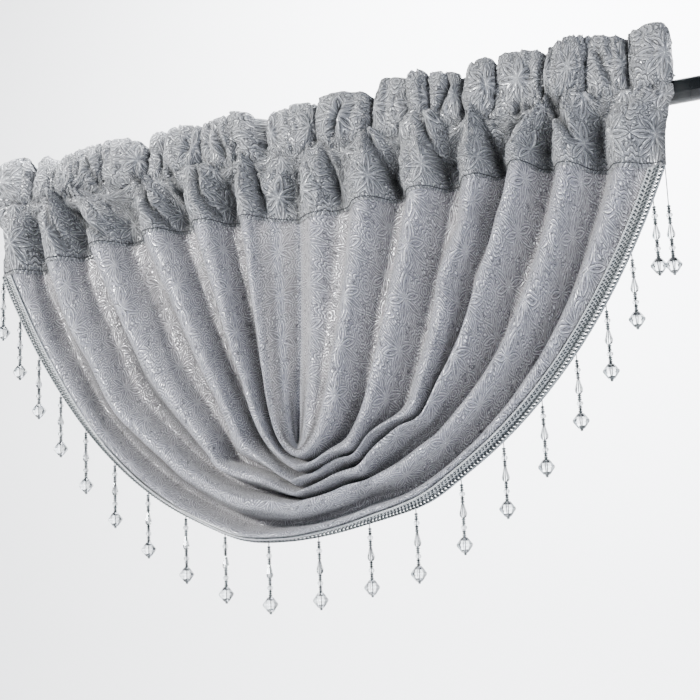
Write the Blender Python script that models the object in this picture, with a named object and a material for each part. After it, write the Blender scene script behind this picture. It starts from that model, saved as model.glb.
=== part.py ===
"""A waterfall valance on its curtain rod.

One swag of jacquard cloth falls in nested U folds from a gathered, doubled heading that the
rod runs through. A woven braid is sewn along the curved hem, with a fringe of bead strings.
The origin is on the rod's axis, at the middle of the heading: X runs along the rod, -Y is the
side that faces the room and Z is up.
"""

import math
from collections import namedtuple

import bmesh
import bpy
import numpy as np
from mathutils import Vector

# Sizes in this file are millimetres. MM turns them into Blender's metres.
MM = 0.001
WELD = 0.00001

# The rod, and how much wider the heading is at the rod and at the frill than at the seam.
ROD_DIAMETER = 25.0
ROD_LENGTH = 990.0
ROD_SIDES = 32
ROD_EDGE = 1.0
WIDER_AT_ROD = 1.045
WIDER_AT_FRILL = 1.06

# Cloth and trimming thicknesses.
SWAG_CLOTH = 1.4
HEADING_CLOTH = 1.2
BRAID_THICKNESS = 1.5
BRAID_WIDTH = 21.0

# The air between pieces that are sewn together: along the seam, between the heading's two
# layers there, and between the trim and the cloth that it lies on.
SEWN_GAP = 0.9
LAYER_SPACING = 2.2
BRAID_GAP = 0.75

# The rows of the swag's grid that lie under the trim, and those that lead up to it.
BRAID_ROWS = 2
HEM_RUN = 2

# How far the round of each fold spreads over its valley, how far the valley tucks up behind
# the fold above it at the bottom of the U, and the room between folds that lets them lie at
# their full depth.
FOLD_ROUNDNESS = 0.5
VALLEY_TUCK = 3.0
TUCK_NARROWING = 3.0
FULL_DEPTH_ROOM = 14.0

# The columns on each side of the low points, how much closer together they lie round them,
# the samples that measure lengths of cloth, and the step that finds a direction on it.
ARM_STEPS = 15
LOW_POINT_CROWDING = 1.3
ARM_SAMPLES = 160
INSET_SAMPLES = 21
HEM_SAMPLES = 41
NUDGE = 0.01

# The bead fringe: its strings hang at an even spacing along the hem, and one more hangs
# from the trim's cut end on a longer bare thread.
STRING_COUNT = 20
STRING_SPACING = 58.2
STRING_LENGTH = 77.0
STRING_INSET = 4.0
END_STRING_SLACK = 34.0
TAPE_SIZE = 2.0

# One row for each fold of the swag, from the pocket in the middle out to the hem.
# Each fold is a U seen from the front: (x, z) of its two tops on the seam, of its low point
# and of the knees that its arms bend round, with the pull of each knee. crest is how far
# forward (y) the fold stands at left top, low point and right top, and dip is how deep the
# valley between it and the next fold falls back at the same three places.
Fold = namedtuple("Fold", "name steps left_top left_knee left_pull low "
                          "right_knee right_pull right_top crest dip")
FOLDS = (
    Fold("pocket", 2, (-5, -72), (-5, -200), 1.0, (-6, -328),
         (-5, -200), 1.0, (-5, -72), (4, -18, 4), (0, 0, -2)),
    Fold("heart", 5, (-30, -70), (-16, -330), 1.1, (3, -336),
         (18, -330), 1.1, (24, -76), (-8, -38, -26), (3, 0, 20)),
    Fold("first", 6, (-56, -66), (-28, -340), 1.7, (10, -344),
         (34, -336), 2.2, (86, -68), (-32, -54, -32), (34, 30, 32)),
    Fold("second", 6, (-116, -62), (-40, -346), 1.4, (10, -356),
         (82, -336), 2.6, (150, -66), (-31, -56, -30), (34, 32, 30)),
    Fold("third", 6, (-182, -64), (-64, -340), 2.0, (2, -373),
         (146, -312), 2.4, (213, -64), (-32, -57, -32), (36, 36, 32)),
    Fold("fourth", 6, (-258, -69), (-134, -344), 1.3, (6, -386),
         (172, -334), 1.4, (262, -55), (-32, -58, -30), (36, 36, 30)),
    Fold("fifth", 6, (-322, -80), (-222, -372), 1.0, (4, -396),
         (240, -378), 1.0, (313, -68), (-30, -58, -32), (22, 28, 22)),
    Fold("sixth", 3, (-388, -84), (-244, -416), 1.0, (-8, -428),
         (256, -416), 1.0, (368, -78), (-17, -50, -26), (0, -2, 0)),
    Fold("hem", 0, (-408, -84), (-254, -422), 1.0, (-8, -432),
         (268, -426), 1.0, (408, -79), (-10, -44, -12), (0, 0, 0)),
)

# How far the hem turns back under the swag at its low point, and the share of its left and
# its right arm that the turn reaches up. The trim faces down where the hem is turned.
HEM_TURN = 19.0
LEFT_TURN_REACH = 0.9
RIGHT_TURN_REACH = 0.6

# One row for each lobe of the frill above the rod: where its crest stands and how high.
Lobe = namedtuple("Lobe", "x top")
LOBES = (
    Lobe(-400, 67), Lobe(-350, 62), Lobe(-284, 61), Lobe(-234, 62), Lobe(-177, 58),
    Lobe(-135, 60), Lobe(-85, 63), Lobe(-45, 62), Lobe(14, 62), Lobe(67, 65),
    Lobe(110, 72), Lobe(152, 74), Lobe(192, 67), Lobe(226, 65), Lobe(270, 78),
    Lobe(320, 75), Lobe(362, 77), Lobe(412, 75),
)
LOBE_NOTCH = 15.0

# The heading's section, from the seam up the front, over the frill and down the back.
# A level's height is above the rod's axis, with the frill's measured on a lobe of
# FRILL_HEIGHT, and None is the height of the seam itself.
# wave is how much of the swag's fold shows there and frill how much of the lobes. A level
# with more than PINCHED_FRILL of them stands in the frill and follows its lobes' heights.
FRILL_HEIGHT = 70.0
PINCHED_FRILL = 2.0
Level = namedtuple("Level", "height y wave frill widening")
LEVELS = (
    Level(None, 0.0, 1.0, 0.0, 1.0),
    Level(-32.0, -25.0, 17.0, 0.0, 1.02),
    Level(-11.0, -25.0, 8.5, 0.0, 1.04),
    Level(4.0, -19.5, 3.5, 0.0, WIDER_AT_ROD),
    Level(15.9, -2.6, 0.0, 1.2, WIDER_AT_ROD),
    Level(38.0, -7.0, 0.0, 8.0, 1.05),
    Level(FRILL_HEIGHT, -5.0, 0.0, 10.5, WIDER_AT_FRILL),
    Level(FRILL_HEIGHT, 1.5, 0.0, 10.5, WIDER_AT_FRILL),
    Level(42.0, 5.0, 0.0, 8.0, WIDER_AT_FRILL),
    Level(15.9, 0.4, 0.0, 1.2, WIDER_AT_ROD),
    Level(12.9, 10.8, 0.0, 0.0, WIDER_AT_ROD),
    Level(0.0, 15.6, 0.8, 0.0, WIDER_AT_ROD),
    Level(-16.0, 15.0, 1.0, 0.0, 1.04),
    Level(-42.0, 0.0, 14.0, 0.0, 1.02),
    Level(None, LAYER_SPACING, 1.0, 0.0, 1.0),
)
SEAM_MIDDLE_Y = -14.0
SEAM_SWING = 18.0

# One row for each ring of a bead string: how far down it is and half its width. The thread
# swells into a long clear drop, small beads and a faceted end bead.
Ring = namedtuple("Ring", "share half_width")
RINGS = (
    Ring(0.05, 0.8), Ring(0.30, 1.2), Ring(0.36, 2.2), Ring(0.50, 3.8), Ring(0.58, 1.6),
    Ring(0.78, 1.6), Ring(0.81, 3.0), Ring(0.89, 7.4), Ring(0.97, 3.0), Ring(1.0, 1.0),
)


def clear_scene():
    for thing in list(bpy.data.objects):
        bpy.data.objects.remove(thing, do_unlink=True)


def material(name, colour, roughness, metallic=0.0):
    made = bpy.data.materials.new(name)
    made.use_nodes = True
    shader = made.node_tree.nodes["Principled BSDF"]
    shader.inputs["Base Color"].default_value = (*colour, 1.0)
    shader.inputs["Roughness"].default_value = roughness
    shader.inputs["Metallic"].default_value = metallic
    return made


def finish(name, shape, surface):
    """Turn a bmesh into the named object, smooth shaded."""
    bmesh.ops.recalc_face_normals(shape, faces=shape.faces)
    mesh = bpy.data.meshes.new(name)
    shape.to_mesh(mesh)
    shape.free()
    made = bpy.data.objects.new(name, mesh)
    bpy.context.scene.collection.objects.link(made)
    mesh.materials.append(surface)
    mesh.shade_smooth()
    mesh.set_sharp_from_angle(angle=math.radians(50.0))
    return made


def sheet(name, columns, rows, place, thickness, surface):
    """A grid of cloth with each corner at place(column, row), given its thickness."""
    shape = bmesh.new()
    bmesh.ops.create_grid(shape, x_segments=columns, y_segments=rows, size=0.5)
    for corner in shape.verts:
        column = round((corner.co.x + 0.5) * columns)
        row = round((corner.co.y + 0.5) * rows)
        corner.co = Vector(place(column, row)) * MM
    bmesh.ops.remove_doubles(shape, verts=shape.verts, dist=WELD)
    made = finish(name, shape, surface)
    solid = made.modifiers.new("Thickness", "SOLIDIFY")
    solid.thickness = thickness * MM
    solid.offset = 0.0
    return made


def arm(top, knee, pull, low):
    """A fold's arm as evenly spaced (x, z) samples of a conic, from its low point up."""
    along = np.linspace(0.0, 1.0, ARM_SAMPLES)[:, None]
    low_share = (1.0 - along) ** 2
    knee_share = 2.0 * pull * along * (1.0 - along)
    top_share = along ** 2
    weighted = low_share * np.array(low) + knee_share * np.array(knee) + top_share * np.array(top)
    samples = weighted / (low_share + knee_share + top_share)
    steps = np.linalg.norm(np.diff(samples, axis=0), axis=1)
    length = np.concatenate(([0.0], np.cumsum(steps)))
    return length / length[-1], samples


ARMS = [(arm(fold.left_top, fold.left_knee, fold.left_pull, fold.low),
         arm(fold.right_top, fold.right_knee, fold.right_pull, fold.low)) for fold in FOLDS]


def crest_point(index, along):
    """(x, y, z) on a fold's crest. along runs from -1, the left seam, to 1, the right seam."""
    fold = FOLDS[index]
    share, samples = ARMS[index][0 if along < 0 else 1]
    rise = abs(along)
    x = np.interp(rise, share, samples[:, 0])
    z = np.interp(rise, share, samples[:, 1])
    y = three_way(fold.crest, along)
    if index == len(FOLDS) - 1:
        reach = LEFT_TURN_REACH if along < 0 else RIGHT_TURN_REACH
        y += HEM_TURN * math.cos(min(1.0, rise / reach) * math.pi / 2.0) ** 2
    return np.array([x, y, z])


def three_way(values, along):
    """Blend the values for left top, low point and right top."""
    left, low, right = values
    end = left if along < 0 else right
    return low + (end - low) * math.sin(abs(along) * math.pi / 2.0)


def swag_point(depth, along):
    """A point of the swag's cloth. depth counts folds from the pocket out to the hem."""
    index = min(int(depth), len(FOLDS) - 2)
    phase = depth - index
    turn = 2.0 * math.pi * phase
    valley = (1.0 - math.cos(turn)) / 2.0
    crest = crest_point(index, along)
    following = crest_point(index + 1, along)
    room = math.hypot(following[0] - crest[0], following[2] - crest[2])
    dip = three_way(FOLDS[index].dip, along) * min(1.0, room / FULL_DEPTH_ROOM)
    roundness = FOLD_ROUNDNESS * min(1.0, max(0.0, room / FULL_DEPTH_ROOM - 1.0))
    share = phase + roundness * math.sin(turn) / (2.0 * math.pi) if dip > 0.0 else phase
    point = (1.0 - share) * crest + share * following
    point[1] += dip * valley
    point[2] += VALLEY_TUCK * valley * max(0.0, 1.0 - TUCK_NARROWING * abs(along))
    return point


# The rows of the swag's grid: the folds' own rows as far as the last valley, then rows that
# run out to the band of cloth under the braid.
FOLD_DEPTHS = [index + step / fold.steps for index, fold in enumerate(FOLDS[:-2])
               for step in range(fold.steps)][:-HEM_RUN]
ROWS = len(FOLD_DEPTHS) + HEM_RUN + BRAID_ROWS


def depth_at_inset(along, inset):
    """How deep in the folds the cloth is that lies inset from the hem, measured on the cloth."""
    last = len(FOLDS) - 1.0
    depths = np.linspace(last, last - 1.0, INSET_SAMPLES)
    points = np.array([swag_point(depth, along) for depth in depths])
    length = np.concatenate(([0.0], np.cumsum(np.linalg.norm(np.diff(points, axis=0), axis=1))))
    return np.interp(inset, length, depths)


def row_depth(row, along):
    """The depth in the folds of a row of the swag's grid."""
    if row < len(FOLD_DEPTHS):
        return FOLD_DEPTHS[row]
    band = row - len(FOLD_DEPTHS) - HEM_RUN
    if band >= 0:
        return depth_at_inset(along, BRAID_WIDTH * (BRAID_ROWS - band) / BRAID_ROWS)
    share = (band + HEM_RUN + 1) / (HEM_RUN + 1)
    return FOLD_DEPTHS[-1] + share * (depth_at_inset(along, BRAID_WIDTH) - FOLD_DEPTHS[-1])


def place_along(column):
    """Where a column of the grid crosses the folds, closer together near their low points."""
    share = column / ARM_STEPS - 1.0
    return math.copysign(abs(share) ** LOW_POINT_CROWDING, share)


def build_swag(surface):

    def place(column, row):
        along = place_along(column)
        return swag_point(row_depth(row, along), along)

    return sheet("swag", 2 * ARM_STEPS, ROWS, place, SWAG_CLOTH, surface)


def seam_line():
    """The swag's top edge from the left end of the hem to the right end."""
    left = [swag_point(row_depth(row, -1.0), -1.0) for row in range(ROWS, -1, -1)]
    right = [swag_point(row_depth(row, 1.0), 1.0) for row in range(1, ROWS + 1)]
    return left + right


def lobe_at(x):
    """The frill's wave at x, -1 on a crest and 1 in the notch between two, and its height."""
    spots = [lobe.x for lobe in LOBES]
    place = np.interp(x, spots, range(len(spots)))
    across = 2.0 * (place - round(place))
    top = np.interp(x, spots, [lobe.top for lobe in LOBES])
    return 2.0 * across ** 2 - 1.0, top - LOBE_NOTCH * across ** 2


def behind_seam(seam, column, spacing):
    """The point that lies spacing behind the seam, square to its line."""
    before = seam[max(column - 1, 0)]
    after = seam[min(column + 1, len(seam) - 1)]
    ahead = (after - before)[:2]
    ahead /= np.linalg.norm(ahead)
    x, y, z = seam[column]
    return (x - ahead[1] * spacing, y + ahead[0] * spacing, z)


def build_heading(surface):
    seam = seam_line()

    def place(column, row):
        x, y, z = seam[column]
        level = LEVELS[row]
        if level.height is None:
            x, y, z = behind_seam(seam, column, level.y)
            return (x, y, z + SEWN_GAP)
        wave = (y - SEAM_MIDDLE_Y) / SEAM_SWING
        lobe, top = lobe_at(x * level.widening)
        height = level.height * top / FRILL_HEIGHT if level.frill > PINCHED_FRILL else level.height
        return (x * level.widening, level.y + level.wave * wave + level.frill * lobe, height)

    return sheet("heading", len(seam) - 1, len(LEVELS) - 1, place, HEADING_CLOTH, surface)


def build_rod(surface):
    shape = bmesh.new()
    bmesh.ops.create_cone(shape, cap_ends=True, segments=ROD_SIDES, radius1=ROD_DIAMETER / 2 * MM,
                          radius2=ROD_DIAMETER / 2 * MM, depth=ROD_LENGTH * MM)
    rims = [edge for edge in shape.edges if abs(edge.verts[0].co.z - edge.verts[1].co.z) < WELD]
    bmesh.ops.bevel(shape, geom=rims, offset=ROD_EDGE * MM, segments=1, affect="EDGES")
    rod = finish("rod", shape, surface)
    rod.rotation_euler = (0.0, math.pi / 2.0, 0.0)
    return rod


def cloth_front(depth, along):
    """The normal on the swag's front."""
    last = len(FOLDS) - 1.0
    out = swag_point(min(depth + NUDGE, last), along) - swag_point(depth - NUDGE, along)
    ahead = swag_point(depth, min(along + NUDGE, 1.0)) - swag_point(depth, max(along - NUDGE, -1.0))
    front = np.cross(out, ahead)
    return front / np.linalg.norm(front)


def build_braid(surface):
    offset = (SWAG_CLOTH + BRAID_THICKNESS) / 2 + BRAID_GAP

    def place(column, row):
        along = place_along(column)
        depth = row_depth(ROWS - BRAID_ROWS + row, along)
        return swag_point(depth, along) + cloth_front(depth, along) * offset

    return sheet("braid", 2 * ARM_STEPS, BRAID_ROWS, place, BRAID_THICKNESS, surface)


def hem_along(distance):
    """The place along the hem's row that lies this far from its left end."""
    left, right = hem_lengths()
    if distance < left:
        return distance / left - 1.0
    return (distance - left) / right


def hem_lengths():
    """How long the hem is on each side of its low point."""
    lengths = []
    for end in (-1.0, 1.0):
        points = np.array([swag_point(len(FOLDS) - 1.0, end * share)
                           for share in np.linspace(0.0, 1.0, HEM_SAMPLES)])
        lengths.append(np.sum(np.linalg.norm(np.diff(points, axis=0), axis=1)))
    return lengths


def tape_corners(along):
    """The tape's square section beyond the hem, its outer corners first, with its middle."""
    last = len(FOLDS) - 1.0
    edge = swag_point(last, along)
    ahead = swag_point(last, min(along + NUDGE, 1.0)) - swag_point(last, max(along - NUDGE, -1.0))
    ahead /= np.linalg.norm(ahead)
    out = np.cross(ahead, cloth_front(last, along))
    front = np.cross(out, ahead)
    middle = edge + out * (BRAID_GAP + TAPE_SIZE / 2)
    half = TAPE_SIZE / 2
    return [middle + out * half + front * half, middle + out * half - front * half,
            middle - out * half - front * half, middle - out * half + front * half]


def hang_string(shape, face, slack):
    """Draw a face of the tape out into one hanging string, its beads below a slack of thread."""
    top = face.calc_center_median()
    for ring in RINGS:
        face = bmesh.ops.extrude_discrete_faces(shape, faces=[face])["faces"][0]
        half = ring.half_width * MM
        drop = ring.share * STRING_LENGTH + (slack if ring is not RINGS[0] else 0.0)
        middle = top - Vector((0.0, 0.0, drop * MM))
        square = ((-half, -half), (-half, half), (half, half), (half, -half))
        for corner, (x, y) in zip(face.verts, square):
            corner.co = middle + Vector((x, y, 0.0))


def build_fringe(surface):
    """A comb: a tape along the hem with one hanging string for each tooth."""
    length = sum(hem_lengths())
    spots = [STRING_INSET + index * STRING_SPACING for index in range(STRING_COUNT)]
    spots.append(length - STRING_INSET)
    sections = []
    for spot, following in zip(spots, spots[1:] + [None]):
        sections += [spot - TAPE_SIZE / 2, spot + TAPE_SIZE / 2]
        if following:
            sections.append((spot + following) / 2)
    shape = bmesh.new()
    loops = []
    for distance in sections:
        corners = tape_corners(hem_along(distance))
        loops.append([shape.verts.new(Vector(corner) * MM) for corner in corners])
    string_tops = []
    for index, (before, after) in enumerate(zip(loops, loops[1:])):
        for side in range(4):
            other = (side + 1) % 4
            face = shape.faces.new((before[side], before[other], after[other], after[side]))
            if side == 0 and index % 3 == 0:
                string_tops.append(face)
    shape.faces.new(loops[0])
    shape.faces.new(reversed(loops[-1]))
    for face in string_tops:
        hang_string(shape, face, END_STRING_SLACK if face is string_tops[-1] else 0.0)
    return finish("bead_fringe", shape, surface)


clear_scene()
cloth = material("silver_jacquard", (0.42, 0.42, 0.46), 0.6)
trim = material("silver_braid", (0.36, 0.38, 0.40), 0.5)
beads = material("clear_beads", (0.75, 0.77, 0.8), 0.1)
black = material("black_rod", (0.02, 0.02, 0.022), 0.35)
build_rod(black)
build_swag(cloth)
build_heading(cloth)
build_braid(trim)
build_fringe(beads)
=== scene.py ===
"""The waterfall valance on its rod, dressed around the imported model."""

import math
from collections import namedtuple

import bmesh
import bpy
import numpy as np
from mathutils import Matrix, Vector, noise


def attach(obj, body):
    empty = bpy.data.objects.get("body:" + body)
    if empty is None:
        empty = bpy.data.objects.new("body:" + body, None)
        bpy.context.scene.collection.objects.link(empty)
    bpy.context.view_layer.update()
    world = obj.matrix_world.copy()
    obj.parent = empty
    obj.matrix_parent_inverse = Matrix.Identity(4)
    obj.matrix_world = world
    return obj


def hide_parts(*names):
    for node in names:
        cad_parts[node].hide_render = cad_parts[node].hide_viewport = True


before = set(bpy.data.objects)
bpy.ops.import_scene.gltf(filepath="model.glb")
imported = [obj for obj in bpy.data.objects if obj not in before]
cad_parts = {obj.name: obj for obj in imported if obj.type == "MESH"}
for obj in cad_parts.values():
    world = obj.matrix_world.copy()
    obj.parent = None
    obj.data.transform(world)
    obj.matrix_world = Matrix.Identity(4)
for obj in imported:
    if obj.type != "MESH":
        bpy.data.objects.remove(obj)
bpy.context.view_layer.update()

# ---------------------------------------------------------------------------
# The room: a plain pale floor that sweeps up into a pale backdrop, behind and below the
# hanging valance, three soft studio lamps and a camera that looks up at it from the right.
# ---------------------------------------------------------------------------
FLOOR_Z = -1.45
FLOOR_FRONT_Y = -4.0
BACKDROP_Y = 1.6
BACKDROP_TOP_Z = 3.2
ROOM_HALF_WIDTH = 5.0
SWEEP_RADIUS = 0.9
SWEEP_STEPS = 12
AMBIENT_STRENGTH = 0.21
CAMERA_PLACE = (0.61307, -1.34081, -0.50584)
CAMERA_TURN_DEGREES = (100.837, 2.4106, 23.1462)
CAMERA_LENS_MM = 68.914
SENSOR_WIDTH_MM = 36.0

for stray in [thing for thing in bpy.data.objects if thing.type in {"LIGHT", "CAMERA"}]:
    bpy.data.objects.remove(stray, do_unlink=True)


def finished(name, shape, surface):
    """Turn a bmesh into the named object at the origin, smooth shaded, with its material."""
    mesh = bpy.data.meshes.new(name)
    shape.to_mesh(mesh)
    shape.free()
    made = bpy.data.objects.new(name, mesh)
    bpy.context.scene.collection.objects.link(made)
    mesh.materials.append(surface)
    mesh.shade_smooth()
    return made


class Nodes:
    """A material's node tree, with short calls for the nodes that the finishes use."""

    def __init__(self, name):
        self.material = bpy.data.materials.new(name)
        self.material.use_nodes = True
        self.tree = self.material.node_tree
        self.shader = self.tree.nodes["Principled BSDF"]

    def node(self, kind, *inputs, **settings):
        """Add a node, set its settings, and link or set its inputs in order."""
        made = self.tree.nodes.new(kind)
        for setting, value in settings.items():
            setattr(made, setting, value)
        for socket, value in zip(made.inputs, inputs):
            self.feed(socket, value)
        return made

    def feed(self, socket, value):
        """Link a socket's output to it, or set its value. None leaves it as it is."""
        if isinstance(value, bpy.types.NodeSocket):
            self.tree.links.new(value, socket)
        elif value is not None:
            socket.default_value = value

    def maths(self, operation, *inputs):
        """Combine numbers."""
        return self.node("ShaderNodeMath", *inputs, operation=operation).outputs[0]

    def vector(self, operation, *inputs):
        """Combine vectors."""
        made = self.node("ShaderNodeVectorMath", *inputs, operation=operation)
        return made.outputs["Vector"]

    def blend(self, share, first, second):
        """Mix two colours by a share from 0 to 1."""
        made = self.node("ShaderNodeMix", data_type="RGBA")
        for socket, value in ((0, share), (6, first), (7, second)):
            self.feed(made.inputs[socket], value)
        return made.outputs[2]

    def ramp(self, value, low, high, to_low=0.0, to_high=1.0):
        """Carry a value from one range to another, clamped and eased."""
        made = self.node("ShaderNodeMapRange", value, low, high, to_low, to_high,
                         interpolation_type="SMOOTHSTEP")
        return made.outputs[0]

    def clouds(self, place, scale, detail):
        """Cloudy noise from 0 to 1 over a place, scale clouds to the metre."""
        return self.node("ShaderNodeTexNoise", place, None, scale, detail).outputs["Fac"]

    def bump(self, height, distance, strength, before=None):
        """Raise the surface by height, in metres of distance."""
        made = self.node("ShaderNodeBump")
        self.feed(made.inputs["Strength"], strength)
        self.feed(made.inputs["Distance"], distance)
        self.feed(made.inputs["Height"], height)
        self.feed(made.inputs["Normal"], before)
        return made.outputs["Normal"]

    def surface(self, **values):
        """Set the shader's inputs by name, with _ for each space."""
        for name, value in values.items():
            self.feed(self.shader.inputs[name.replace("_", " ")], value)
        return self.material


backdrop = bmesh.new()
profile = [(FLOOR_FRONT_Y, FLOOR_Z)]
for step in range(SWEEP_STEPS + 1):
    angle = math.radians(90.0 * step / SWEEP_STEPS)
    profile.append((BACKDROP_Y - SWEEP_RADIUS + SWEEP_RADIUS * math.sin(angle),
                    FLOOR_Z + SWEEP_RADIUS - SWEEP_RADIUS * math.cos(angle)))
profile.append((BACKDROP_Y, BACKDROP_TOP_Z))
edge = [backdrop.verts.new((-ROOM_HALF_WIDTH, y, z)) for y, z in profile]
ribs = [backdrop.edges.new(pair) for pair in zip(edge, edge[1:])]
drawn = bmesh.ops.extrude_edge_only(backdrop, edges=ribs)["geom"]
far_side = [part for part in drawn if isinstance(part, bmesh.types.BMVert)]
bmesh.ops.translate(backdrop, verts=far_side, vec=(2 * ROOM_HALF_WIDTH, 0.0, 0.0))
paint = Nodes("pale_floor")
paint.surface(Base_Color=(0.86, 0.87, 0.885, 1.0), Roughness=0.9)
finished("floor", backdrop, paint.material)

world = bpy.data.worlds.new("studio")
world.use_nodes = True
ambient = world.node_tree.nodes["Background"]
ambient.inputs["Color"].default_value = (0.86, 0.90, 1.0, 1.0)
ambient.inputs["Strength"].default_value = AMBIENT_STRENGTH
bpy.context.scene.world = world


def lamp(name, place, aim, size, power, colour):
    """Hang a square soft lamp at a place, turned towards its aim."""
    light = bpy.data.lights.new(name, "AREA")
    light.shape = "SQUARE"
    light.size = size
    light.energy = power
    light.color = colour
    stand = bpy.data.objects.new(name, light)
    stand.location = place
    stand.rotation_euler = (Vector(aim) - Vector(place)).to_track_quat("-Z", "Y").to_euler()
    bpy.context.scene.collection.objects.link(stand)


lamp("key_lamp", place=(-1.7, -2.45, 0.9), aim=(0.0, 0.0, -0.2), size=0.6, power=252.0,
     colour=(1.0, 0.985, 0.96))
lamp("fill_lamp", place=(2.4, -2.0, -0.2), aim=(0.1, 0.0, -0.2), size=2.0, power=86.0,
     colour=(0.88, 0.91, 1.0))
lamp("back_lamp", place=(0.2, 0.45, 1.0), aim=(0.0, 1.6, 0.45), size=1.8, power=270.0,
     colour=(0.97, 0.98, 1.0))

camera = bpy.data.objects.new("camera", bpy.data.cameras.new("camera"))
camera.location = CAMERA_PLACE
camera.rotation_euler = [math.radians(angle) for angle in CAMERA_TURN_DEGREES]
camera.data.sensor_width = SENSOR_WIDTH_MM
camera.data.lens = CAMERA_LENS_MM
bpy.context.scene.collection.objects.link(camera)
bpy.context.scene.camera = camera

# ---------------------------------------------------------------------------
# The curtain rod: a steel tube with a black satin lacquer, plain at both ends. It keeps the
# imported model's shape and gets the lacquer's faint orange peel and rubbed patches.
# ---------------------------------------------------------------------------
PEEL_SCALE = 900.0
RUBBED_SCALE = 26.0

lacquer = Nodes("black_rod_lacquer")
spot = lacquer.node("ShaderNodeTexCoord").outputs["Object"]
peel = lacquer.clouds(spot, PEEL_SCALE, 3.0)
rubbed = lacquer.clouds(spot, RUBBED_SCALE, 4.0)
lacquer.surface(
    Base_Color=lacquer.blend(lacquer.ramp(rubbed, 0.45, 0.75), (0.003, 0.004, 0.005, 1.0),
                             (0.010, 0.012, 0.013, 1.0)),
    Roughness=lacquer.ramp(rubbed, 0.3, 0.7, 0.22, 0.34), Specular_IOR_Level=0.35,
    Normal=lacquer.bump(peel, 0.0002, 0.25))
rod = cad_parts["rod"]
rod.data.materials.clear()
rod.data.materials.append(lacquer.material)

# ---------------------------------------------------------------------------
# The swag: one thin sheet of silver jacquard, gathered along its top and left to fall in
# nested U folds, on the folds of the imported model's solid. From here on sizes are in mm, and
# MM turns them into metres.
# ---------------------------------------------------------------------------
MM = 0.001
SWAG_ROWS = 236
SWAG_COLUMNS = 380
ARM_SAMPLES = 400
HALFWAY_UP = 0.55
LOW_POINT_CROWDING = 1.25
FOLD_ROUNDNESS = 0.3
FULL_DEPTH_ROOM = 14.0
VALLEY_TUCK = 3.0
VALLEY_WALL = 0.68
SHALLOWER = 0.12
# One row for each fold, from the pocket out to the hem: the (x, z) of its tops, of its knees
# with how strongly each pulls the arm, and of its low point. crest and dip have three values,
# for the left top, the low point and the right top: the crest's y, and how deep the valley is
# between this fold and the next.
Fold = namedtuple("Fold", "name left_top left_knee left_pull low "
                          "right_knee right_pull right_top crest dip")
FOLDS = (
    Fold("pocket", (-5, -72), (-5, -200), 1.0, (-6, -328),
         (-5, -200), 1.0, (-5, -72), (4, -18, 4), (0, 0, -2)),
    Fold("heart", (-30, -70), (-16, -330), 1.1, (3, -336),
         (18, -330), 1.1, (24, -76), (-8, -38, -26), (3, 0, 20)),
    Fold("first", (-56, -66), (-28, -340), 1.7, (10, -344),
         (34, -336), 2.4, (86, -68), (-32, -54, -32), (34, 36, 34)),
    Fold("second", (-116, -62), (-40, -346), 1.4, (10, -356),
         (82, -336), 3.6, (150, -66), (-32, -56, -31), (35, 38, 35)),
    Fold("third", (-182, -64), (-64, -340), 2.0, (2, -373),
         (145, -312), 4.0, (213, -64), (-33, -57, -33), (36, 42, 36)),
    Fold("fourth", (-258, -69), (-134, -344), 1.3, (6, -386),
         (172, -334), 1.7, (262, -55), (-33, -58, -32), (36, 44, 36)),
    Fold("fifth", (-322, -80), (-222, -372), 1.0, (4, -396),
         (240, -378), 1.0, (315, -68), (-32, -58, -33), (34, 44, 32)),
    Fold("sixth", (-388, -84), (-244, -416), 1.0, (-8, -428),
         (256, -416), 1.0, (373, -78), (-17, -50, -27), (2, 0, 8)),
    Fold("hem", (-408, -84), (-254, -422), 1.0, (-8, -432),
         (268, -426), 1.0, (414, -79), (-10, -44, -12), (0, 0, 0)),
)
# How far the hem turns back under the swag at its low point, and how far up each arm.
HEM_TURN = 19.0
LEFT_TURN_REACH = 0.9
RIGHT_TURN_REACH = 0.6
LAST = len(FOLDS) - 1


def arm(top, knee, pull, low):
    """A fold's arm: evenly spaced (x, z) samples of a conic, from its low point up."""
    along = np.linspace(0.0, 1.0, ARM_SAMPLES)[:, None]
    low_share, knee_share, top_share = (1 - along) ** 2, 2 * pull * along * (1 - along), along ** 2
    weighted = low_share * np.array(low) + knee_share * np.array(knee) + top_share * np.array(top)
    samples = weighted / (low_share + knee_share + top_share)
    length = np.concatenate(([0.0], np.cumsum(np.linalg.norm(np.diff(samples, axis=0), axis=1))))
    return length / length[-1], samples


ARMS = [(arm(fold.left_top, fold.left_knee, fold.left_pull, fold.low),
         arm(fold.right_top, fold.right_knee, fold.right_pull, fold.low)) for fold in FOLDS]
CRESTS = np.array([fold.crest for fold in FOLDS], dtype=float)
DIPS = np.array([fold.dip for fold in FOLDS], dtype=float)


def three_way(values, along):
    """Blend the columns for left top, low point and right top. along runs from -1 to 1."""
    end = np.where(along < 0, values[..., 0], values[..., 2])
    return values[..., 1] + (end - values[..., 1]) * np.sin(np.abs(along) * math.pi / 2)


def crest_points(index, along):
    """(x, y, z) on the crests of the folds named by index, at the places along them."""
    x, z = np.zeros(along.shape), np.zeros(along.shape)
    for fold in np.unique(index):
        for side, here in enumerate((along < 0, along >= 0)):
            chosen = here & (index == fold)
            share, samples = ARMS[fold][side]
            x[chosen] = np.interp(np.abs(along[chosen]), share, samples[:, 0])
            z[chosen] = np.interp(np.abs(along[chosen]), share, samples[:, 1])
    reach = np.where(along < 0, LEFT_TURN_REACH, RIGHT_TURN_REACH)
    turned = np.cos(np.minimum(1.0, np.abs(along) / reach) * math.pi / 2) ** 2
    y = three_way(CRESTS[index], along) + np.where(index == LAST, HEM_TURN * turned, 0.0)
    return np.stack([x, y, z], axis=-1)


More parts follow.
